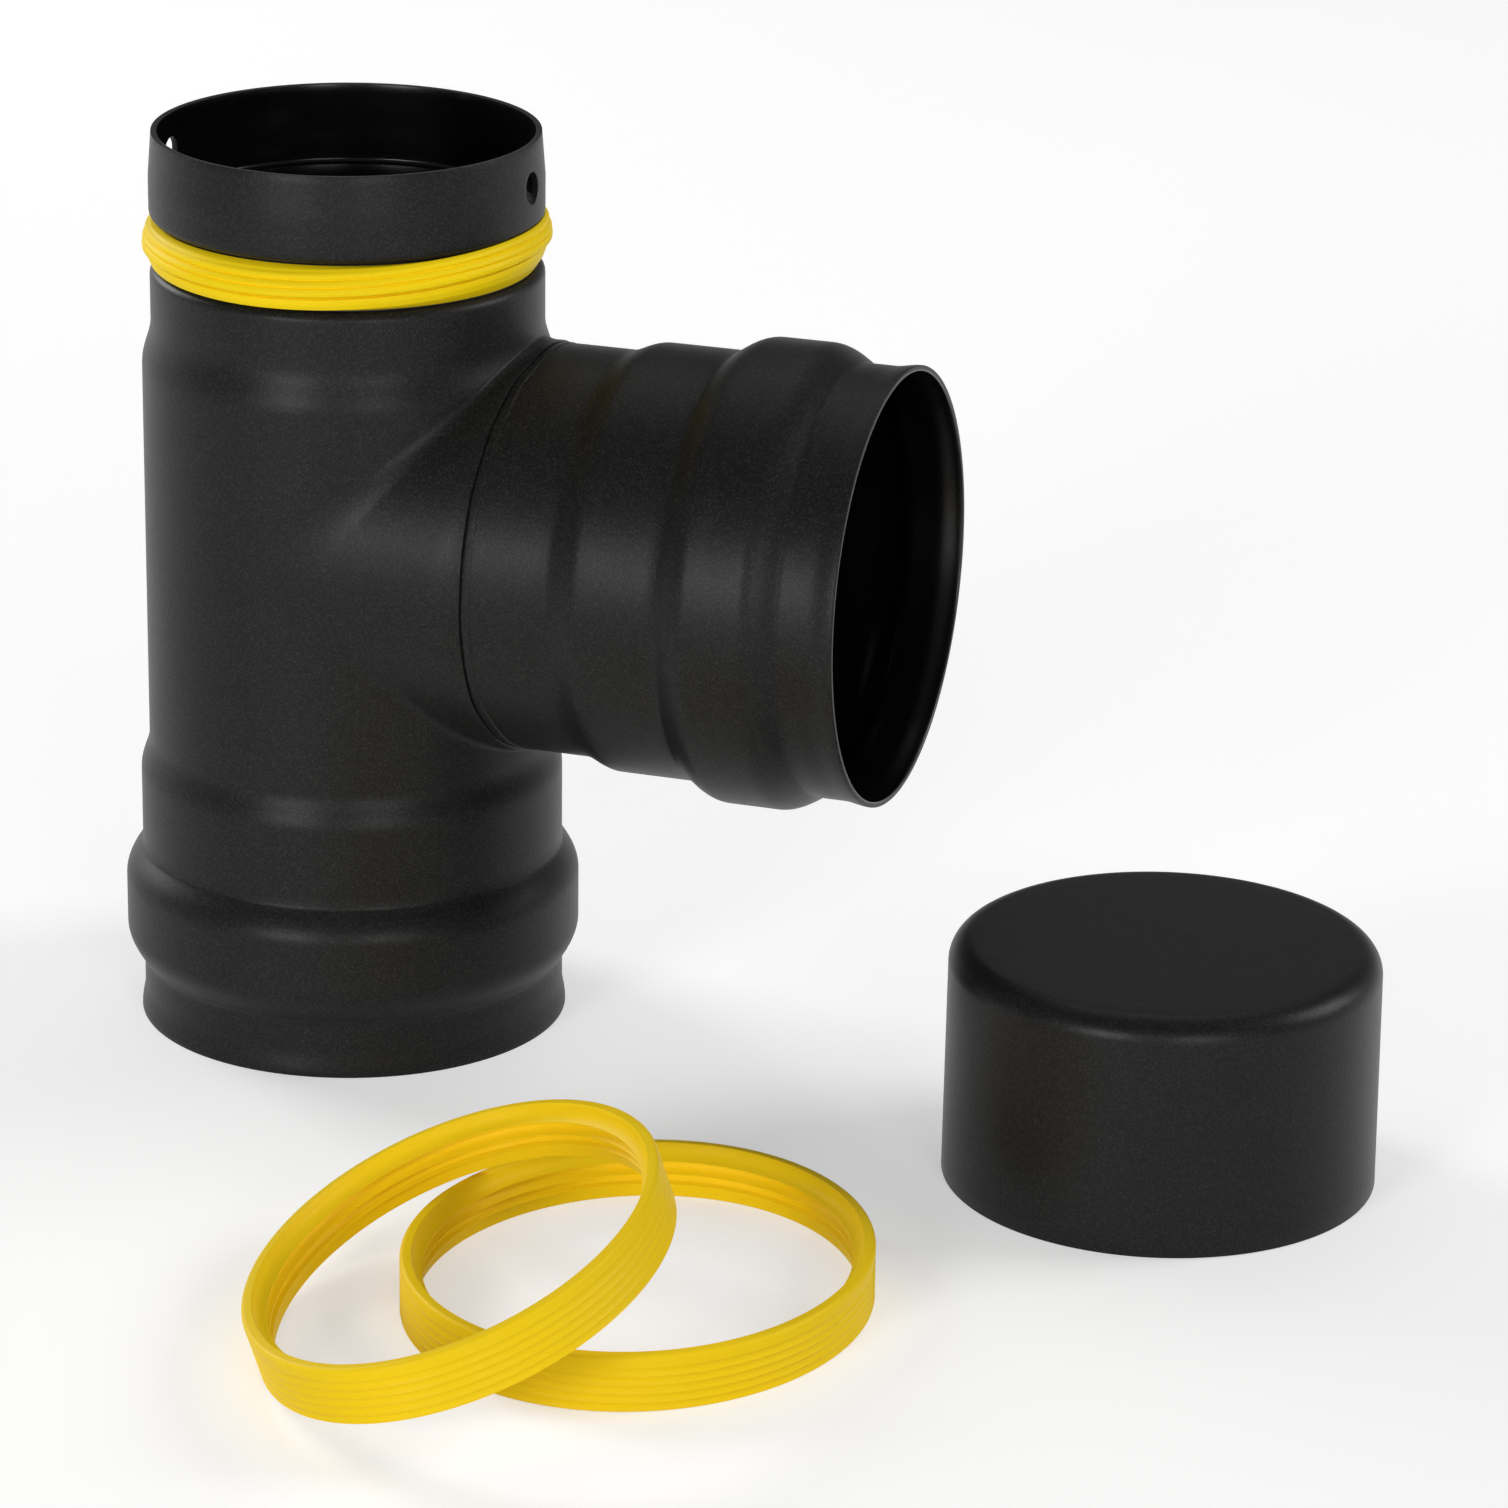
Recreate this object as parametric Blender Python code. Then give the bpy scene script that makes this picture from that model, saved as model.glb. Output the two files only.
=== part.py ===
"""Stove pipe tee with its fitted seal, its two loose seals and its end cap, in metres, +Z up.

The run stands on its base socket, and the branch points along +X. The seals and the cap lie
on the same floor as the base, and the middle of the whole set's floor area is the origin.
"""
import math

import bmesh
import bpy
from mathutils import Vector

# Sheet steel
WALL = 0.0012
BODY_RADIUS = 0.0419

# Sockets of the base and of the branch, measured inward from the mouth
MOUTH_RADIUS = 0.0445
FLARE_LENGTH = 0.0056
NECK_RADIUS = 0.0438
NECK_LENGTH = 0.0058
BEAD_RADIUS = 0.0472
BEAD_RISE = 0.0078
BEAD_CREST = 0.0102
BEAD_FALL = 0.0075
SLEEVE_RADIUS = 0.0437
SLEEVE_LENGTH = 0.0160
SOCKET_STEP = 0.0076

# Spigot at the top of the run, with the rolled groove that holds its seal
SPIGOT_RADIUS = 0.0400
SPIGOT_LENGTH = 0.0158
RIM_TAPER = 0.0007
RIM_TAPER_LENGTH = 0.0090
SHOULDER_STEP = 0.0090
SHOULDER_LENGTH = 0.0095
SHOULDER_OVER_BRANCH = 0.0021
GROOVE_DEPTH = 0.0020
GROOVE_LENGTH = 0.0097
ROLL_SHARE = 0.1
LOCK_HOLE_RADIUS = 0.0033
LOCK_HOLE_DROP = 0.0086

# Branch, whose collar is drawn out of the run's wall
BODY_UNDER_BRANCH = 0.0026
COLLAR_REACH = 0.0012
COLLAR_LAND = 0.0003
CHEEK_RADIUS = 0.0080
CROTCH_SHARE = 0.8
STUB_INSET = 0.0004
STUB_LENGTH = 0.0145

# Seals
SEAL_RADIUS = 0.0473
SEAL_HEIGHT = 0.0110
SEAL_BAND = 0.0030
SEAL_LIP = 0.0012
SEAL_RIB_DEPTH = 0.0004
SEAL_RIB_COUNT = 5
FITTED_LIP = 0.0012
CONTACT_GAP = 0.0003

# Face of the fitted seal, from its top edge down, in shares of its lip and of its height
FITTED_FACE = ((0.1, 0.0), (0.35, 0.10), (0.1, 0.24), (0.6, 0.31), (1.0, 0.44), (0.6, 0.58),
               (0.7, 0.64), (-0.25, 0.71), (0.1, 0.76), (-0.75, 1.0))

# Inside of the loose seals, in shares of their height
RIB_LAND = 0.24
RIB_DROP = 0.3
LIP_COUNT = 3
FIRST_LIP = 0.24
LIP_PITCH = 0.15
LIP_RISE = 0.75
TOP_EDGE = 0.33

# End cap
CAP_RADIUS = 0.0429
CAP_TAPER = 0.0004
CAP_HEIGHT = 0.0485
CAP_EDGE = 0.0050

# Where the loose pieces lie, from the foot of the run's axis
CAP_PLACE = (0.1832, -0.0286)
BASE_SEAL_PLACE = (0.1069, -0.1208)
BASE_SEAL_OVAL = 0.064
BASE_SEAL_LONG_AXIS = math.radians(92.8)
BRANCH_SEAL_PLACE = (0.0842, -0.1508)
BRANCH_SEAL_OVAL = 0.149
BRANCH_SEAL_LONG_AXIS = math.radians(86.2)
BRANCH_SEAL_TURN = math.radians(17.8)

# Facets
QUARTER_SIDES = 12
PIPE_SIDES = 4 * QUARTER_SIDES
SEAL_SIDES = 40
HOLE_SIDES = 24
EASE_STEPS = 3
FLARE_STEPS = 2
CAP_EDGE_STEPS = 5
BLEND_STEPS = 4
MERGE_DISTANCE = 0.000002
SHARP_ANGLE = math.radians(32.0)
CONTACT_SAMPLES = 360
LEAN_TRIALS = 24

# Finishes
PAINT_COLOUR = (0.020, 0.021, 0.023, 1.0)
PAINT_ROUGHNESS = 0.42
PAINT_METALLIC = 0.35
SEAL_COLOUR = (0.83, 0.60, 0.010, 1.0)
SEAL_ROUGHNESS = 0.45
SEAL_METALLIC = 0.0

BODY_FOOT = (FLARE_LENGTH + NECK_LENGTH + BEAD_RISE + BEAD_CREST + BEAD_FALL
             + SLEEVE_LENGTH + SOCKET_STEP)
BRANCH_HEIGHT = BODY_FOOT + BODY_UNDER_BRANCH + BODY_RADIUS
SHOULDER_FOOT = BRANCH_HEIGHT + BODY_RADIUS + SHOULDER_OVER_BRANCH
BODY_TOP = SHOULDER_FOOT - SHOULDER_STEP
GROOVE_FOOT = SHOULDER_FOOT + SHOULDER_LENGTH + GROOVE_DEPTH
GROOVE_TOP = GROOVE_FOOT + GROOVE_LENGTH
SPIGOT_FOOT = GROOVE_TOP + GROOVE_DEPTH
RUN_HEIGHT = SPIGOT_FOOT + SPIGOT_LENGTH
SEAM_REACH = BODY_RADIUS + COLLAR_REACH
STUB_FOOT = SEAM_REACH + CONTACT_GAP
STUB_RADIUS = BODY_RADIUS - STUB_INSET
BRANCH_REACH = STUB_FOOT + STUB_LENGTH + BODY_FOOT
DRILL_LENGTH = 4.0 * SPIGOT_RADIUS


def clear_scene():
    for item in list(bpy.data.objects):
        bpy.data.objects.remove(item, do_unlink=True)


def painted_steel():
    material = bpy.data.materials.new("black_stove_paint")
    material.use_nodes = True
    shader = material.node_tree.nodes["Principled BSDF"]
    shader.inputs["Base Color"].default_value = PAINT_COLOUR
    shader.inputs["Roughness"].default_value = PAINT_ROUGHNESS
    shader.inputs["Metallic"].default_value = PAINT_METALLIC
    return material


def yellow_silicone():
    material = bpy.data.materials.new("yellow_silicone")
    material.use_nodes = True
    shader = material.node_tree.nodes["Principled BSDF"]
    shader.inputs["Base Color"].default_value = SEAL_COLOUR
    shader.inputs["Roughness"].default_value = SEAL_ROUGHNESS
    shader.inputs["Metallic"].default_value = SEAL_METALLIC
    return material


def ease(start, end, steps=EASE_STEPS):
    """Points of a soft S between two (radius, height) points, without the first one."""
    points = []
    for step in range(1, steps + 1):
        share = step / steps
        swing = 0.5 - 0.5 * math.cos(math.pi * share)
        radius = start[0] + (end[0] - start[0]) * swing
        points.append((radius, start[1] + (end[1] - start[1]) * share))
    return points


def flank(foot, crest, steps=EASE_STEPS):
    """Points of a bead's flank, both ends included.

    It leaves the straight wall at its foot in a corner and rounds over into the bead's crest.
    """
    points = []
    for step in range(steps + 1):
        share = step / steps
        swell = math.sin(0.5 * math.pi * share)
        radius = foot[0] + (crest[0] - foot[0]) * swell
        points.append((radius, foot[1] + (crest[1] - foot[1]) * share))
    return points


def corner(centre, radius, start_angle, end_angle, steps=EASE_STEPS):
    """Points of an arc in the (radius, height) plane, both ends included."""
    points = []
    for step in range(steps + 1):
        angle = start_angle + (end_angle - start_angle) * step / steps
        points.append((centre[0] + radius * math.cos(angle), centre[1] + radius * math.sin(angle)))
    return points


def socket_profile(end_radius, inset):
    """(radius, distance from the mouth) points of one socket, moved in by the given inset."""
    mouth = MOUTH_RADIUS - inset
    neck = NECK_RADIUS - inset
    bead = BEAD_RADIUS - inset
    sleeve = SLEEVE_RADIUS - inset
    depth = FLARE_LENGTH
    points = [(mouth, 0.0)] + ease((mouth, 0.0), (neck, depth), FLARE_STEPS)
    depth += NECK_LENGTH
    points += flank((neck, depth), (bead, depth + BEAD_RISE))
    depth += BEAD_RISE + BEAD_CREST
    points += flank((sleeve, depth + BEAD_FALL), (bead, depth))[::-1]
    depth += BEAD_FALL + SLEEVE_LENGTH
    points.append((sleeve, depth))
    points += ease((sleeve, depth), (end_radius - inset, BODY_FOOT))
    return points


def spigot_profile(inset):
    """(radius, height) points from the top of the body to the rim, moved in by the inset."""
    body = BODY_RADIUS - inset
    spigot = SPIGOT_RADIUS - inset
    floor = SPIGOT_RADIUS - GROOVE_DEPTH - inset
    roll = max(GROOVE_DEPTH - inset, ROLL_SHARE * WALL)
    quarter = math.pi / 2.0
    points = [(body, BODY_TOP)] + ease((body, BODY_TOP), (spigot, SHOULDER_FOOT))
    points += corner((spigot - roll, GROOVE_FOOT - GROOVE_DEPTH), roll, 0.0, quarter)
    if inset > 0.0:
        points.append((floor, GROOVE_FOOT - inset))
        points.append((floor, GROOVE_TOP + inset))
    points += corner((spigot - roll, SPIGOT_FOOT), roll, -quarter, 0.0)
    points.append((spigot, RUN_HEIGHT - RIM_TAPER_LENGTH))
    points.append((spigot - RIM_TAPER, RUN_HEIGHT))
    return points


def radius_at(profile, height):
    """Radius of a profile at a height, read along its straight facets."""
    for low, high in zip(profile, profile[1:]):
        if low[1] <= height <= high[1] and high[1] > low[1]:
            share = (height - low[1]) / (high[1] - low[1])
            return low[0] + (high[0] - low[0]) * share
    return profile[0][0]


def around(radius, angle, height):
    return Vector((radius * math.cos(angle), radius * math.sin(angle), height))


def skin(bm, columns):
    """Joins neighbouring columns, which have as many points each, with quads."""
    rows = [[bm.verts.new(point) for point in column] for column in columns]
    for left, right in zip(rows, rows[1:]):
        for low_left, low_right, high_right, high_left in zip(left, right, right[1:], left[1:]):
            bm.faces.new((low_left, low_right, high_right, high_left))


def saddle_curve(profile, angle, inset, way):
    """Points from the run's wall, round the drawn edge, to the end of the collar.

    The columns of the run and of the collar share their y, so in that plane the edge between
    them is a right angle. way is 1 over the branch's axis and -1 under it. The edge radius
    grows from next to nothing in the crotch to CHEEK_RADIUS on the run's sides.
    """
    fall = BODY_RADIUS * (1.0 - math.cos(angle))
    room = COLLAR_REACH - COLLAR_LAND + fall
    tight = CROTCH_SHARE * (min(SHOULDER_OVER_BRANCH, BODY_UNDER_BRANCH) + fall)
    edge_radius = min(CHEEK_RADIUS * (1.0 - math.exp(-room / CHEEK_RADIUS)), tight) + inset
    bore = BODY_RADIUS - inset
    half_height = bore * math.cos(angle)
    line_height = BRANCH_HEIGHT + way * half_height
    start_height = line_height + way * edge_radius
    wall_point = around(radius_at(profile, start_height), angle, start_height)
    line_point = Vector((half_height + edge_radius, bore * math.sin(angle), line_height))
    points = []
    for step in range(BLEND_STEPS + 1):
        turn = 0.5 * math.pi * step / BLEND_STEPS
        out = 1.0 - math.cos(turn)
        up = math.sin(turn)
        points.append(Vector((wall_point.x + (line_point.x - wall_point.x) * out,
                              wall_point.y + (line_point.y - wall_point.y) * out,
                              wall_point.z + (line_point.z - wall_point.z) * up)))
    points.append(Vector((SEAM_REACH, line_point.y, line_height)))
    return points


def run_skin(bm, inset):
    """One skin of the run and its collar, the outer one for no inset. Returns its open edges.

    The back is turned. The front is two sheets of columns, one under the branch and one over
    it, and a flat cheek on each side closes the corners between them and the back.
    """
    turn = 2.0 * math.pi / PIPE_SIDES
    front = [turn * index for index in range(-QUARTER_SIDES, QUARTER_SIDES + 1)]
    back = [turn * index for index in range(QUARTER_SIDES, 3 * QUARTER_SIDES + 1)]
    low_rows = socket_profile(BODY_RADIUS, inset)
    high_rows = spigot_profile(inset)
    whole = low_rows + high_rows
    step_rows = EASE_STEPS + 1

    skin(bm, [[around(r, angle, z) for r, z in low_rows] for angle in back])
    skin(bm, [[around(r, angle, z) for r, z in high_rows] for angle in back])

    under = []
    over = []
    for angle in front:
        base_part = [around(r, angle, z) for r, z in low_rows]
        under.append(base_part + saddle_curve(whole, angle, inset, -1))
        curve = saddle_curve(whole, angle, inset, 1)
        start = curve[0].z
        top_part = []
        for row, (radius, height) in enumerate(high_rows):
            if row < step_rows:
                spread = start + (SHOULDER_FOOT - start) * (row + 1) / step_rows
                height = max(height, spread)
                radius = radius_at(whole, height)
            top_part.append(around(radius, angle, height))
        over.append(curve[::-1] + top_part)
    skin(bm, under)
    skin(bm, over)

    bore = BODY_RADIUS - inset
    skin(bm, [[around(bore, angle, z) for z in (BODY_FOOT, BODY_TOP)] for angle in back[1:-1]])
    for side, beside in ((back[0], back[1]), (back[-1], back[-2])):
        lower = saddle_curve(whole, side, inset, -1)[:-1]
        upper = saddle_curve(whole, side, inset, 1)[:-1]
        cheek = lower + upper[-2::-1]
        line = [around(bore, side, point.z) for point in cheek]
        skin(bm, [line, cheek])
        outline = [around(bore, side, BODY_FOOT)] + line + [around(bore, side, BODY_TOP)]
        outline += [around(bore, beside, BODY_TOP), around(bore, beside, BODY_FOOT)]
        bm.faces.new([bm.verts.new(point) for point in outline])

    circle = front[:-1] + back
    foot_ring = [around(low_rows[0][0], angle, 0.0) for angle in circle]
    rim_ring = [around(high_rows[-1][0], angle, RUN_HEIGHT) for angle in circle]
    collar_ring = [column[-1] for column in under] + [column[0] for column in over[::-1]]
    return foot_ring, rim_ring, collar_ring


def finish_mesh(name, bm, material, parent):
    bmesh.ops.remove_doubles(bm, verts=bm.verts, dist=MERGE_DISTANCE)
    bmesh.ops.dissolve_degenerate(bm, edges=bm.edges, dist=MERGE_DISTANCE)
    bmesh.ops.recalc_face_normals(bm, faces=bm.faces)
    mesh = bpy.data.meshes.new(name)
    bm.to_mesh(mesh)
    bm.free()
    mesh.shade_smooth()
    mesh.set_sharp_from_angle(angle=SHARP_ANGLE)
    mesh.materials.append(material)
    piece = bpy.data.objects.new(name, mesh)
    bpy.context.scene.collection.objects.link(piece)
    piece.parent = parent
    return piece


def turned_piece(name, outline, sides, material, parent):
    """A solid of revolution about its own Z axis, from a closed (radius, height) outline."""
    bm = bmesh.new()
    ring = [bm.verts.new((radius, 0.0, height)) for radius, height in outline]
    edges = [bm.edges.new(pair) for pair in zip(ring, ring[1:] + ring[:1])]
    bmesh.ops.spin(bm, geom=ring + edges, cent=(0.0, 0.0, 0.0), axis=(0.0, 0.0, 1.0),
                   angle=2.0 * math.pi, steps=sides, use_duplicate=False)
    return finish_mesh(name, bm, material, parent)


def run_pipe(material, parent):
    """The run with its drawn collar: two skins, joined at the foot, the rim and the collar."""
    bm = bmesh.new()
    outer = run_skin(bm, 0.0)
    inner = run_skin(bm, WALL)
    for outer_ring, inner_ring in zip(outer, inner):
        skin(bm, [[a, b] for a, b in zip(outer_ring, inner_ring)])
    pipe = finish_mesh("run_pipe", bm, material, parent)

    drill = bmesh.new()
    bmesh.ops.create_cone(drill, cap_ends=True, segments=HOLE_SIDES, radius1=LOCK_HOLE_RADIUS,
                          radius2=LOCK_HOLE_RADIUS, depth=DRILL_LENGTH)
    drill_mesh = bpy.data.meshes.new("lock_hole_drill")
    drill.to_mesh(drill_mesh)
    drill.free()
    cutter = bpy.data.objects.new("lock_hole_drill", drill_mesh)
    bpy.context.scene.collection.objects.link(cutter)
    cutter.parent = parent
    cutter.location = (0.0, 0.0, RUN_HEIGHT - LOCK_HOLE_DROP)
    cutter.rotation_euler = (0.0, math.pi / 2.0, 0.0)
    cutter.hide_render = True
    cutter.display_type = "WIRE"
    holes = pipe.modifiers.new("lock_holes", "BOOLEAN")
    holes.operation = "DIFFERENCE"
    holes.solver = "EXACT"
    holes.object = cutter


def branch_socket(material, parent):
    """The branch tube, which is welded to the collar and ends in the same socket as the base."""
    outer = [(radius, BRANCH_REACH - depth) for radius, depth in socket_profile(STUB_RADIUS, 0.0)]
    inner = [(radius, BRANCH_REACH - depth) for radius, depth in socket_profile(STUB_RADIUS, WALL)]
    outline = outer + [(STUB_RADIUS, STUB_FOOT), (STUB_RADIUS - WALL, STUB_FOOT)] + inner[::-1]
    tube = turned_piece("branch_socket", outline, PIPE_SIDES, material, parent)
    tube.location = (0.0, 0.0, BRANCH_HEIGHT)
    tube.rotation_euler = (0.0, math.pi / 2.0, 0.0)


def fitted_seal(material, parent):
    """The seal in the spigot's groove, with its lips outward: three lips over a plain band."""
    floor = SPIGOT_RADIUS - GROOVE_DEPTH + CONTACT_GAP
    base = GROOVE_FOOT + CONTACT_GAP
    top = GROOVE_TOP - CONTACT_GAP
    outline = [(floor, base), (floor, top)]
    for lip, drop in FITTED_FACE:
        outline.append((SPIGOT_RADIUS + lip * FITTED_LIP, top + (base - top) * drop))
    turned_piece("spigot_seal", outline, SEAL_SIDES, material, parent)


def seal_outline():
    """A loose seal: ribs outside, and inside a sloped band, three lips and a plain band."""
    band = SEAL_RADIUS - SEAL_BAND
    tip = band - SEAL_LIP
    outline = [(SEAL_RADIUS - TOP_EDGE * SEAL_BAND, SEAL_HEIGHT), (SEAL_RADIUS, SEAL_HEIGHT)]
    ribbed = (1.0 - RIB_LAND) * SEAL_HEIGHT
    pitch = ribbed / SEAL_RIB_COUNT
    for rib in range(SEAL_RIB_COUNT):
        crest = ribbed - rib * pitch
        outline.append((SEAL_RADIUS, crest))
        outline.append((SEAL_RADIUS - SEAL_RIB_DEPTH, crest - RIB_DROP * pitch))
    outline += [(SEAL_RADIUS, 0.0), (band, 0.0)]
    for lip in range(LIP_COUNT):
        root = (FIRST_LIP + LIP_PITCH * lip) * SEAL_HEIGHT
        outline.append((band, root))
        outline.append((tip, root + LIP_RISE * LIP_PITCH * SEAL_HEIGHT))
    return outline


def oval_point(radius, angle, oval, long_axis):
    """A point of a soft ring after it is pressed oval. The ring's wall stays as thick."""
    press = SEAL_RADIUS * oval
    along = (radius + press) * math.cos(angle - long_axis)
    across = (radius - press) * math.sin(angle - long_axis)
    return (along * math.cos(long_axis) - across * math.sin(long_axis),
            along * math.sin(long_axis) + across * math.cos(long_axis))


def press_oval(piece, oval, long_axis):
    for vertex in piece.data.vertices:
        radius = math.hypot(vertex.co.x, vertex.co.y)
        angle = math.atan2(vertex.co.y, vertex.co.x)
        vertex.co.x, vertex.co.y = oval_point(radius, angle, oval, long_axis)


def on_base_seal(x, y):
    """Whether a point lies over the flat top edge of the base's seal."""
    x -= BASE_SEAL_PLACE[0]
    y -= BASE_SEAL_PLACE[1]
    along = x * math.cos(BASE_SEAL_LONG_AXIS) + y * math.sin(BASE_SEAL_LONG_AXIS)
    across = y * math.cos(BASE_SEAL_LONG_AXIS) - x * math.sin(BASE_SEAL_LONG_AXIS)
    press = SEAL_RADIUS * BASE_SEAL_OVAL
    edge = SEAL_RADIUS - TOP_EDGE * SEAL_BAND
    outside = math.hypot(along / (SEAL_RADIUS + press), across / (SEAL_RADIUS - press))
    inside = math.hypot(along / (edge + press), across / (edge - press))
    return outside <= 1.0 <= inside


def branch_seal_lean():
    """The angle at which the leaning seal's underside just clears the seal that it lies on.

    Returns the angle and how far the lowest point is from the middle, along the slope.
    """
    under = []
    for radius in (SEAL_RADIUS, SEAL_RADIUS - 0.5 * SEAL_BAND, SEAL_RADIUS - SEAL_BAND):
        for sample in range(CONTACT_SAMPLES):
            angle = 2.0 * math.pi * sample / CONTACT_SAMPLES
            under.append(oval_point(radius, angle, BRANCH_SEAL_OVAL, BRANCH_SEAL_LONG_AXIS))
    lowest = min(point[0] for point in under)
    level = 0.0
    steep = 0.25 * math.pi
    for _ in range(LEAN_TRIALS):
        lean = 0.5 * (level + steep)
        room = SEAL_HEIGHT
        for along, across in under:
            out = along * math.cos(lean)
            x = BRANCH_SEAL_PLACE[0] + out * math.cos(BRANCH_SEAL_TURN) - across * math.sin(BRANCH_SEAL_TURN)
            y = BRANCH_SEAL_PLACE[1] + out * math.sin(BRANCH_SEAL_TURN) + across * math.cos(BRANCH_SEAL_TURN)
            if on_base_seal(x, y):
                room = min(room, (along - lowest) * math.sin(lean) - SEAL_HEIGHT)
        if room * math.cos(lean) < CONTACT_GAP:
            level = lean
        else:
            steep = lean
    return steep, lowest


def loose_seals(material, parent):
    """The base's seal lies flat, and the branch's leans on its top edge with its low side down."""
    flat = turned_piece("base_seal", seal_outline(), SEAL_SIDES, material, parent)
    press_oval(flat, BASE_SEAL_OVAL, BASE_SEAL_LONG_AXIS)
    flat.location = (BASE_SEAL_PLACE[0], BASE_SEAL_PLACE[1], 0.0)

    lean, lowest = branch_seal_lean()
    upper = turned_piece("branch_seal", seal_outline(), SEAL_SIDES, material, parent)
    press_oval(upper, BRANCH_SEAL_OVAL, BRANCH_SEAL_LONG_AXIS)
    upper.location = (BRANCH_SEAL_PLACE[0], BRANCH_SEAL_PLACE[1], -lowest * math.sin(lean))
    upper.rotation_euler = (0.0, -lean, BRANCH_SEAL_TURN)


def end_cap(material, parent):
    """The pressed cap, open end down, with a wide rounded edge round its flat end."""
    quarter = math.pi / 2.0
    top = CAP_RADIUS - CAP_TAPER
    centre = (top - CAP_EDGE, CAP_HEIGHT - CAP_EDGE)
    outline = [(CAP_RADIUS - WALL, 0.0), (CAP_RADIUS, 0.0)]
    outline += corner(centre, CAP_EDGE, 0.0, quarter, CAP_EDGE_STEPS)
    outline += [(0.0, CAP_HEIGHT), (0.0, CAP_HEIGHT - WALL)]
    outline += corner(centre, CAP_EDGE - WALL, quarter, 0.0, CAP_EDGE_STEPS)
    cap = turned_piece("end_cap", outline, PIPE_SIDES, material, parent)
    cap.location = (CAP_PLACE[0], CAP_PLACE[1], 0.0)


def centre_on_floor(frame):
    """Moves the frame so that the middle of the set's floor area is the origin."""
    bpy.context.view_layer.update()
    corners = []
    for piece in frame.children:
        if not piece.hide_render:
            corners += [piece.matrix_world @ vertex.co for vertex in piece.data.vertices]
    middle_x = 0.5 * (min(c.x for c in corners) + max(c.x for c in corners))
    middle_y = 0.5 * (min(c.y for c in corners) + max(c.y for c in corners))
    frame.location = (-middle_x, -middle_y, 0.0)
    bpy.context.view_layer.update()


def main():
    clear_scene()
    frame = bpy.data.objects.new("tee_frame", None)
    bpy.context.scene.collection.objects.link(frame)
    paint = painted_steel()
    silicone = yellow_silicone()
    run_pipe(paint, frame)
    branch_socket(paint, frame)
    fitted_seal(silicone, frame)
    loose_seals(silicone, frame)
    end_cap(paint, frame)
    centre_on_floor(frame)


main()
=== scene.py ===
import math

import bpy
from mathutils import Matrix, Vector


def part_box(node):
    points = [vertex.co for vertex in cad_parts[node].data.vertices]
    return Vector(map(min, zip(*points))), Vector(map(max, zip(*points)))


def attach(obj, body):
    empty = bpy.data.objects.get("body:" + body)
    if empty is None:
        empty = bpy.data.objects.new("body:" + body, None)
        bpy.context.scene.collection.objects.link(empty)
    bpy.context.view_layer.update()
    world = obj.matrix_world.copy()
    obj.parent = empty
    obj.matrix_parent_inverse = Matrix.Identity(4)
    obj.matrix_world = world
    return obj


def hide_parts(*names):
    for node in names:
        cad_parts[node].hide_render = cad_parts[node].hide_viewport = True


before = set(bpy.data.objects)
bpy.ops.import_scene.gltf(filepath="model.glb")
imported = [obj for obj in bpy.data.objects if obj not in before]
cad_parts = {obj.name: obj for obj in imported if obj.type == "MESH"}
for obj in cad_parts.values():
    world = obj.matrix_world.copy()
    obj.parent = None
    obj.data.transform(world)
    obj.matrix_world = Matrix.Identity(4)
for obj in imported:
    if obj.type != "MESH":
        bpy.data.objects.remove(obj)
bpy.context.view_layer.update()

# Camera: in front of the set and a little to its right, looking down on it through a long
# lens from about 1.2 m. It is level to within a degree.
CAMERA_PLACE = (0.369936, -1.036231, 0.487167)
CAMERA_TURN = (math.radians(70.2709), math.radians(-0.7710), math.radians(18.6876))
CAMERA_LENS = 146.552
CAMERA_SENSOR = 36.0
bpy.ops.object.select_all(action="DESELECT")
bpy.ops.object.camera_add(location=CAMERA_PLACE, rotation=CAMERA_TURN)
camera = bpy.context.object
camera.data.lens = CAMERA_LENS
camera.data.sensor_width = CAMERA_SENSOR
bpy.context.scene.camera = camera
bpy.context.scene.view_settings.view_transform = "Standard"

# Studio: a pale painted floor with a low wall far round it, in the same paint. Two small soft boxes
# stand in front of the set, the stronger one on the left, and wider ones light it from its right
# and from behind.
FLOOR_REACH = 8.0
FLOOR_DROP = 0.0001
WALL_HEIGHT = 1.3
STUDIO_SIDES = 96
FLOOR_COLOUR = (0.70, 0.70, 0.70, 1.0)
# How much brighter the floor looks where it is seen, itself or in a reflection. It lights nothing.
FLOOR_LIFT = 0.45
LAMP_WHITE = (1.0, 0.998, 0.99)
AIR_COLOUR = (0.99, 0.99, 1.0, 1.0)
AIR_STRENGTH = 0.138
AIM = Vector((0.0, 0.0, 0.08))
CAMERA_AZIMUTH = math.degrees(math.atan2(CAMERA_PLACE[1], CAMERA_PLACE[0]))
bpy.ops.mesh.primitive_circle_add(vertices=STUDIO_SIDES, radius=FLOOR_REACH, fill_type="NGON",
                                  location=(0.0, 0.0, -FLOOR_DROP))
floor = bpy.context.object
floor.name = "studio_floor"
bpy.ops.mesh.primitive_cylinder_add(vertices=STUDIO_SIDES, radius=FLOOR_REACH, depth=WALL_HEIGHT,
                                    end_fill_type="NOTHING",
                                    location=(0.0, 0.0, 0.5 * WALL_HEIGHT))
studio_wall = bpy.context.object
studio_wall.name = "studio_wall"
floor_paint = bpy.data.materials.new("floor_paint")
floor_paint.use_nodes = True
floor_tree = floor_paint.node_tree
floor_shader = floor_tree.nodes["Principled BSDF"]
floor_shader.inputs["Base Color"].default_value = FLOOR_COLOUR
floor_shader.inputs["Roughness"].default_value = 1.0
floor_shader.inputs["Specular IOR Level"].default_value = 0.0
floor_shader.inputs["Emission Color"].default_value = (1.0, 1.0, 1.0, 1.0)
floor_path = floor_tree.nodes.new("ShaderNodeLightPath")
seen_bare = floor_tree.nodes.new("ShaderNodeMath")
seen_bare.operation = "MAXIMUM"
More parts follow.
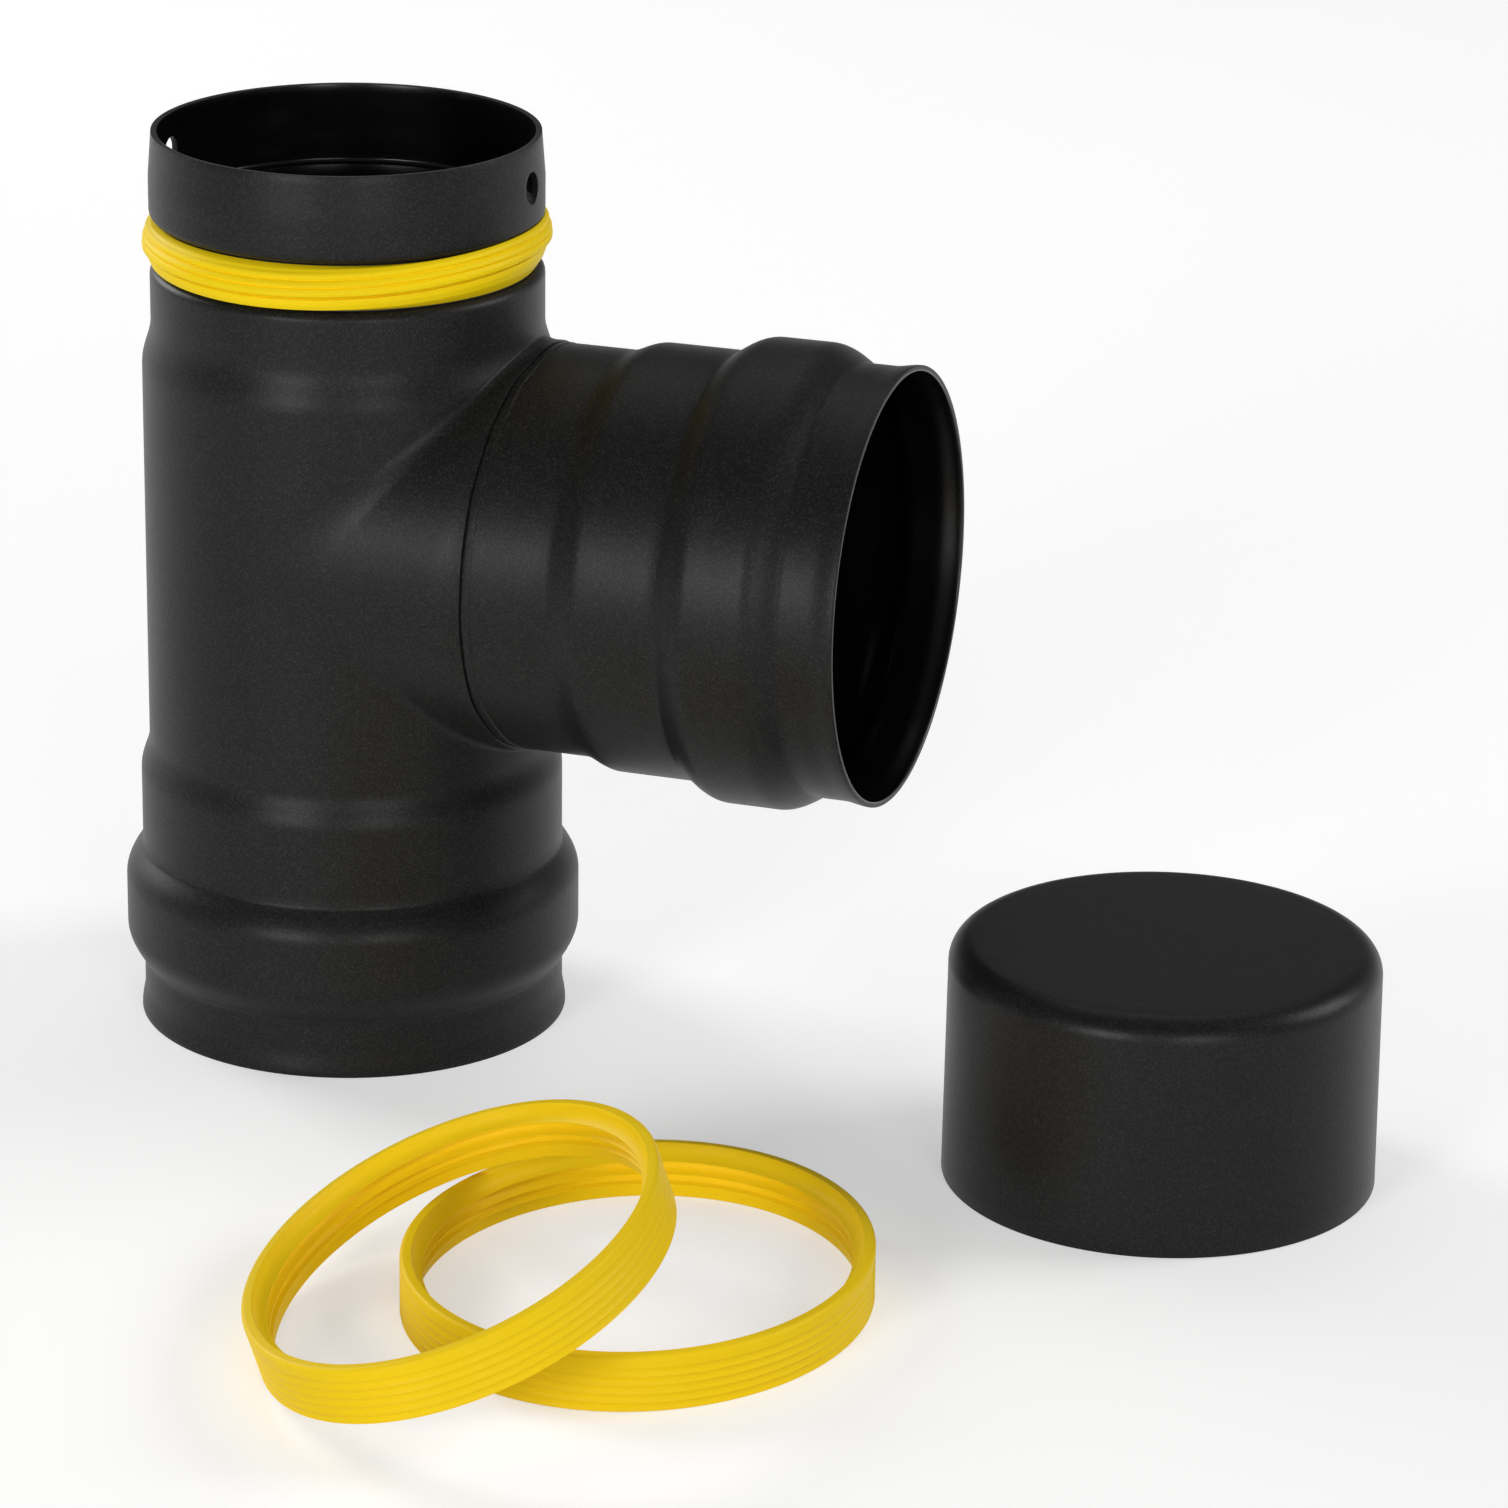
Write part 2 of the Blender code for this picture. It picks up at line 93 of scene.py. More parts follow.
seen_through = floor_tree.nodes.new("ShaderNodeMath")
seen_through.operation = "MAXIMUM"
floor_lift = floor_tree.nodes.new("ShaderNodeMath")
floor_lift.operation = "MULTIPLY"
floor_lift.inputs[1].default_value = FLOOR_LIFT
floor_tree.links.new(floor_path.outputs["Is Camera Ray"], seen_bare.inputs[0])
floor_tree.links.new(floor_path.outputs["Is Glossy Ray"], seen_bare.inputs[1])
floor_tree.links.new(seen_bare.outputs[0], seen_through.inputs[0])
floor_tree.links.new(floor_path.outputs["Is Transmission Ray"], seen_through.inputs[1])
floor_tree.links.new(seen_through.outputs[0], floor_lift.inputs[0])
floor_tree.links.new(floor_lift.outputs[0], floor_shader.inputs["Emission Strength"])
for stage_piece in (floor, studio_wall):
    stage_piece.data.materials.append(floor_paint)


def add_soft_box(name, azimuth, elevation, distance, size, power):
    """A square lamp at an azimuth from the camera's, which faces the set."""
    turn = math.radians(CAMERA_AZIMUTH + azimuth)
    rise = math.radians(elevation)
    way = Vector((math.cos(turn) * math.cos(rise), math.sin(turn) * math.cos(rise), math.sin(rise)))
    bpy.ops.object.light_add(type="AREA", location=AIM + way * distance)
    lamp = bpy.context.object
    lamp.name = name
    lamp.rotation_euler = way.to_track_quat("Z", "Y").to_euler()
    lamp.data.shape = "SQUARE"
    lamp.data.size = size
    lamp.data.energy = power
    lamp.data.color = LAMP_WHITE


add_soft_box("front_left_box", -33.0, 13.0, 2.0, 0.60, 17.0)
add_soft_box("front_right_box", 16.0, 13.0, 2.0, 0.60, 10.0)
add_soft_box("side_right_box", 98.0, 28.0, 2.0, 0.9, 16.0)
add_soft_box("back_left_box", -132.0, 23.0, 2.5, 1.1, 31.0)
add_soft_box("back_top_box", 180.0, 60.0, 2.0, 1.5, 4.5)

world = bpy.data.worlds.new("studio_air")
bpy.context.scene.world = world
world.use_nodes = True
world.node_tree.nodes["Background"].inputs["Color"].default_value = AIR_COLOUR
world.node_tree.nodes["Background"].inputs["Strength"].default_value = AIR_STRENGTH

# Run of the tee: a drawn steel tube that stands on its beaded socket. Its wall is drawn out into
# a short collar for the branch, its top is rolled in to a spigot with a groove for the seal, and
# it is sprayed with black stove paint after it is welded.
WALL = 0.0012
BODY_RADIUS = 0.0419
MOUTH_RADIUS = 0.0445
FLARE_LENGTH = 0.0056
NECK_RADIUS = 0.0438
NECK_LENGTH = 0.0058
BEAD_RADIUS = 0.0472
BEAD_RISE = 0.0078
BEAD_CREST = 0.0102
BEAD_FALL = 0.0075
BEAD_CORNER = 0.05
SLEEVE_RADIUS = 0.0437
SLEEVE_LENGTH = 0.0160
SOCKET_STEP = 0.0076
BODY_FOOT = (FLARE_LENGTH + NECK_LENGTH + BEAD_RISE + BEAD_CREST + BEAD_FALL
             + SLEEVE_LENGTH + SOCKET_STEP)
BRANCH_HEIGHT = 0.1050
BODY_TOP = 0.1400
SHOULDER_FOOT = 0.1490
SPIGOT_RADIUS = 0.0400
GROOVE_DEPTH = 0.0020
GROOVE_FOOT = 0.1605
GROOVE_TOP = 0.1702
SPIGOT_FOOT = GROOVE_TOP + GROOVE_DEPTH
RUN_HEIGHT = 0.1880
RIM_TAPER = 0.0007
RIM_TAPER_LENGTH = 0.0090
COLLAR_REACH = 0.0431
COLLAR_LIP = 0.0002
# The weld seam's height over the branch's axis, as a share of the radius, and how far it lies out
# from COLLAR_REACH there. Below 0 it bows to the run.
SEAM_BOW = ((-1.0, 0.0003), (-0.8, -0.0017), (-0.5, -0.0029), (-0.17, -0.0030), (0.15, -0.0028),
            (0.45, -0.0026), (0.74, -0.0020), (0.90, -0.0014), (1.0, -0.0003))
CHEEK_RADIUS = 0.0080
CROTCH_RADIUS = 0.0010
CREASE_GROWTH = 1.3
LOCK_HOLE_RADIUS = 0.0033
LOCK_HOLE_DROP = 0.0086
DRILL_LENGTH = 0.12
DRILL_SIDES = 48
RIM_ROUNDING = 0.0003
RIM_ANGLE = math.radians(62.0)
SHEET_SMOOTHING = math.radians(40.0)
MERGE_REACH = 0.000004
QUARTER_SIDES = 48
EDGE_STEPS = 12
COLLAR_STEPS = 4
COLLAR_ROWS = EDGE_STEPS + 1 + COLLAR_STEPS
run_low, run_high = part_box("run_pipe")
RUN_PLACE = Vector((0.5 * (run_low[0] + run_high[0]), 0.5 * (run_low[1] + run_high[1]), 0.0))


def step_points(start, end, count):
    """Points of a pressed step between two (radius, height) points, without the first one."""
    points = []
    for index in range(1, count + 1):
        share = index / count
        swing = 0.5 - 0.5 * math.cos(math.pi * share)
        points.append((start[0] + (end[0] - start[0]) * swing,
                       start[1] + (end[1] - start[1]) * share))
    return points


def flank_points(foot, crest, count):
    """Points of a bead's flank from the wall at its foot up to its crest, both ends included."""
    points = []
    full = math.hypot(1.0, BEAD_CORNER) - BEAD_CORNER
    for index in range(count + 1):
        share = index / count
        swell = math.sin(0.5 * math.pi * (math.hypot(share, BEAD_CORNER) - BEAD_CORNER) / full)
        points.append((foot[0] + (crest[0] - foot[0]) * swell,
                       foot[1] + (crest[1] - foot[1]) * share))
    return points


def wall_points(start, end, count):
    """Evenly spaced points of a straight wall, without the first one."""
    return [(start[0] + (end[0] - start[0]) * index / count,
             start[1] + (end[1] - start[1]) * index / count) for index in range(1, count + 1)]


def arc_points(centre, radius, start, end, count):
    """Points of a rolled edge in the (radius, height) plane, with angles in degrees."""
    points = []
    for index in range(count + 1):
        angle = math.radians(start + (end - start) * index / count)
        points.append((centre[0] + radius * math.cos(angle), centre[1] + radius * math.sin(angle)))
    return points


def socket_points(end_radius):
    """Outside of a beaded socket, from its flared mouth to the tube that carries it."""
    points = [(MOUTH_RADIUS, 0.0)]
    depth = FLARE_LENGTH
    points += step_points(points[-1], (NECK_RADIUS, depth), 6)
    depth += NECK_LENGTH
    points += wall_points(points[-1], (NECK_RADIUS, depth), 4)
    points += flank_points(points[-1], (BEAD_RADIUS, depth + BEAD_RISE), 18)[1:]
    depth += BEAD_RISE + BEAD_CREST
    points += wall_points(points[-1], (BEAD_RADIUS, depth), 5)
    points += flank_points((SLEEVE_RADIUS, depth + BEAD_FALL), points[-1], 18)[:-1][::-1]
    depth += BEAD_FALL + SLEEVE_LENGTH
    points += wall_points(points[-1], (SLEEVE_RADIUS, depth), 7)
    points += step_points(points[-1], (end_radius, depth + SOCKET_STEP), 10)
    return points


def body_radius_at(height):
    """Radius of the run above its socket and below the straight part of its shoulder."""
    if height <= BODY_TOP:
        return BODY_RADIUS
    share = min(1.0, (height - BODY_TOP) / (SHOULDER_FOOT - BODY_TOP))
    swing = 0.5 - 0.5 * math.cos(math.pi * share)
    return BODY_RADIUS + (SPIGOT_RADIUS - BODY_RADIUS) * swing


def on_run(radius, angle, height):
    """The place of a point of the run's wall, with the angle counted from the branch."""
    return RUN_PLACE + Vector((radius * math.cos(angle), radius * math.sin(angle), height))


def seam_reach(height):
    """How far out the weld seam runs at a height over the branch's axis: it bows to the run."""
    share = max(-1.0, min(1.0, height / BODY_RADIUS))
    stretches = zip(SEAM_BOW, SEAM_BOW[1:])
    (low, low_bow), (high, high_bow) = next(ends for ends in stretches if share <= ends[1][0])
    swing = 0.5 - 0.5 * math.cos(math.pi * (share - low) / (high - low))
    return COLLAR_REACH + low_bow + (high_bow - low_bow) * swing


def collar_points(angle, way):
    """From the run's wall, round the drawn edge, to the end of the collar, at one angle.

    The edge is tight in the crotch and grows wide on the run's sides, where the wall of the
    run and of the collar lie in one plane. way is 1 over the branch and -1 under it.
    """
    fall = BODY_RADIUS * (1.0 - math.cos(angle))
    growth = (fall / BODY_RADIUS) ** CREASE_GROWTH
    edge = CROTCH_RADIUS + (CHEEK_RADIUS - CROTCH_RADIUS) * growth
    half_height = BODY_RADIUS * math.cos(angle)
    level = BRANCH_HEIGHT + way * half_height
    wall_height = level + way * edge
    wall = on_run(body_radius_at(wall_height), angle, wall_height)
    line = on_run(0.0, 0.0, level)
    line += Vector((half_height + edge, BODY_RADIUS * math.sin(angle), 0.0))
    reach = RUN_PLACE.x + seam_reach(way * half_height)
    line.x = min(line.x, reach - COLLAR_LIP)
    points = []
    for index in range(EDGE_STEPS + 1):
        turn = 0.5 * math.pi * index / EDGE_STEPS
        out = 1.0 - math.cos(turn)
        points.append(Vector((wall.x + (line.x - wall.x) * out,
                              wall.y + (line.y - wall.y) * out,
                              wall.z + (line.z - wall.z) * math.sin(turn))))
    end = Vector((reach, line.y, line.z))
    points += [line.lerp(end, (step + 1) / COLLAR_STEPS) for step in range(COLLAR_STEPS)]
    return points


def lay_sheet(name, columns):
    """A flat grid whose columns of points are laid along the given lines."""
    wide = len(columns) - 1
    tall = len(columns[0]) - 1
    bpy.ops.object.select_all(action="DESELECT")
    bpy.ops.mesh.primitive_grid_add(x_subdivisions=wide, y_subdivisions=tall, size=2.0)
    sheet = bpy.context.object
    sheet.name = name
    for vertex in sheet.data.vertices:
        column = round(0.5 * (vertex.co.x + 1.0) * wide)
        row = round(0.5 * (vertex.co.y + 1.0) * tall)
        vertex.co = columns[column][row]
    return sheet


socket_rows = socket_points(BODY_RADIUS)
spigot_rows = [(SPIGOT_RADIUS, SHOULDER_FOOT)]
spigot_rows += wall_points(spigot_rows[-1], (SPIGOT_RADIUS, GROOVE_FOOT - GROOVE_DEPTH), 6)
groove_radius = SPIGOT_RADIUS - GROOVE_DEPTH
roll_centre = (groove_radius, GROOVE_FOOT - GROOVE_DEPTH)
spigot_rows += arc_points(roll_centre, GROOVE_DEPTH, 0.0, 90.0, 8)[1:]
spigot_rows += wall_points(spigot_rows[-1], (spigot_rows[-1][0], GROOVE_TOP), 4)
roll_centre = (groove_radius, SPIGOT_FOOT)
spigot_rows += arc_points(roll_centre, GROOVE_DEPTH, -90.0, 0.0, 8)[1:]
spigot_rows += wall_points(spigot_rows[-1], (SPIGOT_RADIUS, RUN_HEIGHT - RIM_TAPER_LENGTH), 4)
spigot_rows += wall_points(spigot_rows[-1], (SPIGOT_RADIUS - RIM_TAPER, RUN_HEIGHT), 5)

# The half towards the branch is laid as one sheet under the branch and one over it. Both end in
# the collar, whose edge is part of each column.
side_turn = 0.5 * math.pi / QUARTER_SIDES
front_angles = [side_turn * index for index in range(-QUARTER_SIDES, QUARTER_SIDES + 1)]
back_angles = [side_turn * index for index in range(QUARTER_SIDES, 3 * QUARTER_SIDES + 1)]
under_columns = []
over_columns = []
for angle in front_angles:
    under = collar_points(angle, -1)
    column = [on_run(radius, angle, height) for radius, height in socket_rows]
    foot_to_collar = wall_points((BODY_RADIUS, BODY_FOOT), (BODY_RADIUS, under[0].z), 20)
    column += [on_run(radius, angle, height) for radius, height in foot_to_collar[:-1]]
    under_columns.append(column + under)
    over = collar_points(angle, 1)
    column = over[::-1]
    for _, height in wall_points((BODY_RADIUS, over[0].z), (BODY_RADIUS, SHOULDER_FOOT), 24)[:-1]:
        column.append(on_run(body_radius_at(height), angle, height))
    column += [on_run(radius, angle, height) for radius, height in spigot_rows]
    over_columns.append(column)

# The other half is a plain turned shell. Its rows lie at the heights of the front's side columns,
# so that the halves meet point by point.
side_rows = [point.z for point in under_columns[-1][:-COLLAR_STEPS - 1]]
side_rows += [point.z for point in over_columns[-1][COLLAR_STEPS:]]
body_rows = [(body_radius_at(height), height)
             for height in side_rows[len(socket_rows):-len(spigot_rows)]]
side_profile = socket_rows + body_rows + spigot_rows
back_columns = []
for angle in back_angles:
    back_columns.append([on_run(radius, angle, height) for radius, height in side_profile])
sheets = [lay_sheet("run_back", back_columns), lay_sheet("run_under", under_columns),
          lay_sheet("run_over", over_columns)]
# On each side a small sheet fills the cheek between the back half and the collar's edge.
for columns_end in (0, -1):
    angle = front_angles[columns_end]
    edge = under_columns[columns_end][-COLLAR_ROWS:-COLLAR_STEPS]
    edge += over_columns[columns_end][COLLAR_STEPS + 1:COLLAR_ROWS]
    straight = [on_run(BODY_RADIUS, angle, point.z) for point in edge]
    middle = [near.lerp(far, 0.5) for near, far in zip(straight, edge)]
    sheets.append(lay_sheet("run_cheek", [straight, middle, edge]))
bpy.ops.object.select_all(action="DESELECT")
for sheet in sheets:
    sheet.select_set(True)
bpy.context.view_layer.objects.active = sheets[0]
bpy.ops.object.join()
run_tube = bpy.context.object
run_tube.name = "run_tube"
bpy.ops.object.mode_set(mode="EDIT")
bpy.ops.mesh.select_all(action="SELECT")
bpy.ops.mesh.remove_doubles(threshold=MERGE_REACH)
bpy.ops.mesh.normals_make_consistent(inside=False)
bpy.ops.object.mode_set(mode="OBJECT")


def new_node(tree, kind, **values):
    """Adds a node and sets its sockets and settings by name."""
    node = tree.nodes.new(kind)
    for name, value in values.items():
        if hasattr(node, name):
            setattr(node, name, value)
        else:
            node.inputs[name.replace("_", " ")].default_value = value
    return node


# Grain of the sprayed paint, for every painted part: dark binder with fine metallic flake,
# a faint unevenness of the spray, and the peel of its surface as a height.
paint_grain = bpy.data.node_groups.new("paint_grain", "ShaderNodeTree")
for socket_name, socket_type, in_out in (
        ("Place", "NodeSocketVector", "INPUT"), ("Binder", "NodeSocketColor", "INPUT"),
        ("Flake", "NodeSocketColor", "INPUT"), ("Flake Share", "NodeSocketFloat", "INPUT"),
        ("Roughness", "NodeSocketFloat", "INPUT"), ("Colour", "NodeSocketColor", "OUTPUT"),
        ("Roughness", "NodeSocketFloat", "OUTPUT"), ("Metal", "NodeSocketFloat", "OUTPUT"),
        ("Peel", "NodeSocketFloat", "OUTPUT")):
    paint_grain.interface.new_socket(name=socket_name, in_out=in_out, socket_type=socket_type)
grain_in = paint_grain.nodes.new("NodeGroupInput")
grain_out = paint_grain.nodes.new("NodeGroupOutput")
link = paint_grain.links.new
flake = new_node(paint_grain, "ShaderNodeTexVoronoi", Scale=4200.0)
spray = new_node(paint_grain, "ShaderNodeTexNoise", Scale=55.0, Detail=4.0, Roughness=0.6)
peel = new_node(paint_grain, "ShaderNodeTexNoise", Scale=1500.0, Detail=3.0, Roughness=0.55)
for texture in (flake, spray, peel):
    link(grain_in.outputs["Place"], texture.inputs["Vector"])
flake_pick = new_node(paint_grain, "ShaderNodeSeparateColor")
link(flake.outputs["Color"], flake_pick.inputs["Color"])
flake_mask = new_node(paint_grain, "ShaderNodeMapRange", From_Min=0.60, From_Max=1.0)
link(flake_pick.outputs["Red"], flake_mask.inputs["Value"])
flake_share = new_node(paint_grain, "ShaderNodeMath", operation="MULTIPLY")
link(flake_mask.outputs["Result"], flake_share.inputs[0])
link(grain_in.outputs["Flake Share"], flake_share.inputs[1])
flake_colour = new_node(paint_grain, "ShaderNodeMix", data_type="RGBA")
link(flake_share.outputs[0], flake_colour.inputs["Factor"])
link(grain_in.outputs["Binder"], flake_colour.inputs["A"])
link(grain_in.outputs["Flake"], flake_colour.inputs["B"])
spray_level = new_node(paint_grain, "ShaderNodeMapRange", From_Min=0.3, From_Max=0.7,
                       To_Min=0.94, To_Max=1.06)
link(spray.outputs["Fac"], spray_level.inputs["Value"])
spray_colour = new_node(paint_grain, "ShaderNodeVectorMath", operation="SCALE")
link(flake_colour.outputs["Result"], spray_colour.inputs[0])
link(spray_level.outputs["Result"], spray_colour.inputs["Scale"])
link(spray_colour.outputs["Vector"], grain_out.inputs["Colour"])
rough_level = new_node(paint_grain, "ShaderNodeMapRange", From_Min=0.3, From_Max=0.7,
                       To_Min=-0.02, To_Max=0.02)
link(spray.outputs["Fac"], rough_level.inputs["Value"])
rough_sum = new_node(paint_grain, "ShaderNodeMath", operation="ADD")
link(rough_level.outputs["Result"], rough_sum.inputs[0])
link(grain_in.outputs["Roughness"], rough_sum.inputs[1])
link(rough_sum.outputs[0], grain_out.inputs["Roughness"])
link(flake_share.outputs[0], grain_out.inputs["Metal"])
link(peel.outputs["Fac"], grain_out.inputs["Peel"])


def painted(name, binder, flake_colour, flake_amount, roughness, gloss, peel_depth):
    """A coat of stove paint whose grain sits in place on the part. gloss is its specular level."""
    material = bpy.data.materials.new(name)
    material.use_nodes = True
    tree = material.node_tree
    shader = tree.nodes["Principled BSDF"]
    place = tree.nodes.new("ShaderNodeTexCoord")
    grain = tree.nodes.new("ShaderNodeGroup")
    grain.node_tree = paint_grain
    grain.inputs["Binder"].default_value = binder
    grain.inputs["Flake"].default_value = flake_colour
    grain.inputs["Flake Share"].default_value = flake_amount
    grain.inputs["Roughness"].default_value = roughness
    surface = new_node(tree, "ShaderNodeBump", Distance=peel_depth, Strength=1.0)
    tree.links.new(place.outputs["Object"], grain.inputs["Place"])
    tree.links.new(grain.outputs["Colour"], shader.inputs["Base Color"])
    tree.links.new(grain.outputs["Roughness"], shader.inputs["Roughness"])
    tree.links.new(grain.outputs["Metal"], shader.inputs["Metallic"])
    tree.links.new(grain.outputs["Peel"], surface.inputs["Height"])
    tree.links.new(surface.outputs["Normal"], shader.inputs["Normal"])
    shader.inputs["Specular IOR Level"].default_value = gloss
    return material


outside_paint = painted("stove_paint_outside", (0.0074, 0.0076, 0.0078, 1.0),
                        (0.13, 0.127, 0.117, 1.0), 0.17, 0.42, 0.18, 0.00003)
# The inside wall has the same stove paint as the outside. Its near-black colour here is painted
# shade for the dim inside of the tube.
inside_shaded_paint = painted("stove_paint_inside_shaded", (0.0012, 0.0012, 0.0012, 1.0),
                       (0.02, 0.02, 0.02, 1.0), 0.10, 0.24, 0.50, 0.00002)
run_tube.data.materials.append(outside_paint)
run_tube.data.materials.append(inside_shaded_paint)
run_wall = run_tube.modifiers.new("wall", "SOLIDIFY")
run_wall.thickness = WALL
run_wall.offset = -1.0
run_wall.use_even_offset = True
# The inner shell takes the second slot: the inside paint, darkened as painted shade.
run_wall.material_offset = 1
run_wall.material_offset_rim = 0
bpy.ops.object.modifier_apply(modifier="wall")
for vertex in run_tube.data.vertices:
    vertex.co.z = max(0.0, vertex.co.z)


def select_only(piece):
    """Makes a piece the only selected one, and the active one."""
    bpy.ops.object.select_all(action="DESELECT")
    piece.select_set(True)
    bpy.context.view_layer.objects.active = piece


# Both lock holes are drilled in one go, and the rims are dressed after that.
drill_height = RUN_HEIGHT - LOCK_HOLE_DROP
bpy.ops.object.select_all(action="DESELECT")
bpy.ops.mesh.primitive_cylinder_add(vertices=DRILL_SIDES, radius=LOCK_HOLE_RADIUS,
                                    depth=DRILL_LENGTH, rotation=(0.0, 0.5 * math.pi, 0.0),
                                    location=RUN_PLACE + Vector((0.0, 0.0, drill_height)))
drill = bpy.context.object
drill.name = "lock_hole_drill"
select_only(run_tube)
lock_holes = run_tube.modifiers.new("lock_holes", "BOOLEAN")
lock_holes.operation = "DIFFERENCE"
lock_holes.solver = "EXACT"
lock_holes.object = drill
bpy.ops.object.modifier_apply(modifier="lock_holes")
bpy.data.objects.remove(drill, do_unlink=True)
select_only(run_tube)
rounding = run_tube.modifiers.new("edge_rounding", "BEVEL")
rounding.width = RIM_ROUNDING
rounding.segments = 2
rounding.limit_method = "ANGLE"
rounding.angle_limit = RIM_ANGLE
rounding.use_clamp_overlap = True
bpy.ops.object.modifier_apply(modifier="edge_rounding")
bpy.ops.object.shade_smooth_by_angle(angle=SHEET_SMOOTHING)
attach(run_tube, "root")
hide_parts("run_pipe")

# Branch: a short steel tube with the same beaded socket as the base. It butts against the
# collar and is welded to it all round.
STUB_RADIUS = 0.0415
STUB_FOOT = 0.0434
STUB_LENGTH = 0.0145
BRANCH_REACH = STUB_FOOT + STUB_LENGTH + BODY_FOOT
BRANCH_AXIS = RUN_PLACE + Vector((0.0, 0.0, BRANCH_HEIGHT))
TURN_SIDES = 192


def spin_outline(name, outline, corners, rounding, sides):
    """A piece turned about Z: its closed outline is drawn, its corners are rounded, and it is spun.

    corners holds the numbers of the outline's points that are rounded.
    """
    bpy.ops.object.select_all(action="DESELECT")
    bpy.ops.mesh.primitive_circle_add(vertices=len(outline), radius=0.01)
    piece = bpy.context.object
    piece.name = name
    piece.data.name = name
    for vertex, (radius, height) in zip(piece.data.vertices, outline):
        vertex.co = (radius, 0.0, height)
    bpy.ops.object.mode_set(mode="EDIT")
    bpy.ops.mesh.select_all(action="DESELECT")
    bpy.ops.object.mode_set(mode="OBJECT")
    for index in corners:
        piece.data.vertices[index].select = True
    bpy.ops.object.mode_set(mode="EDIT")
    bpy.ops.mesh.select_mode(type="VERT")
    if corners:
        bpy.ops.mesh.bevel(offset=rounding, segments=3, affect="VERTICES")
    bpy.ops.mesh.select_all(action="SELECT")
    bpy.ops.mesh.spin(steps=sides, angle=2.0 * math.pi,
                      center=(0.0, 0.0, 0.0), axis=(0.0, 0.0, 1.0))
    bpy.ops.mesh.select_all(action="SELECT")
    bpy.ops.mesh.remove_doubles(threshold=MERGE_REACH)
    bpy.ops.mesh.normals_make_consistent(inside=False)
    bpy.ops.object.mode_set(mode="OBJECT")
    bpy.ops.object.shade_smooth_by_angle(angle=SHEET_SMOOTHING)
    return piece


def settle(piece, place, turn):
    """Puts a turned piece in its place, in its mesh."""
    select_only(piece)
    piece.location = place
    piece.rotation_euler = turn
    bpy.ops.object.transform_apply(location=True, rotation=True, scale=True)


stub_rows = socket_points(STUB_RADIUS)
stub_rows += wall_points(stub_rows[-1], (STUB_RADIUS, BODY_FOOT + STUB_LENGTH), 7)
outer_line = [(radius, BRANCH_REACH - depth) for radius, depth in stub_rows]
inner_line = [(radius - WALL, height) for radius, height in outer_line]
branch_outline = outer_line + inner_line[::-1]
last = len(branch_outline) - 1
half = len(outer_line)
branch_tube = spin_outline("branch_tube", branch_outline, (0, half - 1, half, last),
                           RIM_ROUNDING, TURN_SIDES)
# Faces that look inward take the inside paint, darkened as painted shade.
for face in branch_tube.data.polygons:
    middle = face.center
    inward = Vector((middle.x, middle.y, 0.0)).dot(face.normal) < 0.0
    face.material_index = 1 if inward else 0
settle(branch_tube, BRANCH_AXIS, (0.0, 0.5 * math.pi, 0.0))
for vertex in branch_tube.data.vertices:
    near = 1.0 - (vertex.co.x - RUN_PLACE.x - STUB_FOOT) / STUB_LENGTH
    bow = seam_reach(vertex.co.z - BRANCH_HEIGHT) - COLLAR_REACH
    vertex.co.x += bow * max(0.0, min(1.0, near))
branch_tube.data.materials.append(outside_paint)
branch_tube.data.materials.append(inside_shaded_paint)
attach(branch_tube, "root")
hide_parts("branch_socket")

# Weld between collar and branch: run all round the joint on the branch's side, dressed down to a
# low smooth band and painted over. A thin crack along the collar's edge stays open.
WELD_SIDES = 384
WELD_ROUNDING = 0.00010
WELD_RIPPLES = (("weld_wave", 0.006, 0.00022), ("weld_burr", 0.0009, 0.00012))
# The band's outline, as places along the branch and heights over its wall.
WELD_SHAPE = ((-0.00010, -0.00090), (-0.00010, -0.00025), (0.00024, -0.00022), (0.00032, 0.00002),
              (0.00075, 0.00010), (0.00130, 0.00012), (0.00175, 0.00016), (0.00205, 0.00006),
              (0.00225, -0.00015), (0.00225, -0.00090))
weld_outline = [(STUB_RADIUS + proud, COLLAR_REACH + along) for along, proud in WELD_SHAPE]
weld_band = spin_outline("weld_band", weld_outline, (2, 3, 6, 7), WELD_ROUNDING, WELD_SIDES)
settle(weld_band, BRANCH_AXIS, (0.0, 0.5 * math.pi, 0.0))
for vertex in weld_band.data.vertices:
    vertex.co.x += seam_reach(vertex.co.z - BRANCH_HEIGHT) - COLLAR_REACH
select_only(weld_band)
for ripple_name, ripple_size, ripple_strength in WELD_RIPPLES:
    ripple_noise = bpy.data.textures.new(ripple_name, "CLOUDS")
    ripple_noise.noise_scale = ripple_size
    ripple = weld_band.modifiers.new(ripple_name, "DISPLACE")
    ripple.texture = ripple_noise
    ripple.texture_coords = "LOCAL"
    ripple.strength = ripple_strength
    ripple.mid_level = 0.5
    bpy.ops.object.modifier_apply(modifier=ripple_name)
weld_band.data.materials.append(outside_paint)
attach(weld_band, "root")

# Seal in the spigot's groove: moulded yellow silicone, stretched over the spigot. Its lips stand
# out of the groove and press against the socket of the next pipe. They sit a little askew.
FITTED_LIP = 0.0012
FITTED_GAP = 0.0003
FITTED_ROUNDING = 0.00012
SILICONE_GLOSS = 0.10
SILICONE_SKIN = 0.00001
# The seal's outer face, as shares of the lip past the spigot's wall and of the way down the seal.
FITTED_FACE = ((-0.3, 0.03), (0.05, 0.07), (0.48, 0.11), (0.68, 0.165), (0.62, 0.21), (0.30, 0.24),
               (0.75, 0.27), (1.08, 0.33), (1.16, 0.375), (0.60, 0.40), (1.0, 0.43), (1.25, 0.50),
               (1.20, 0.585), (0.95, 0.61), (-0.5, 0.625), (-0.5, 0.66), (0.30, 0.69), (0.20, 0.82),
               (-0.15, 0.93), (-0.6, 0.96))
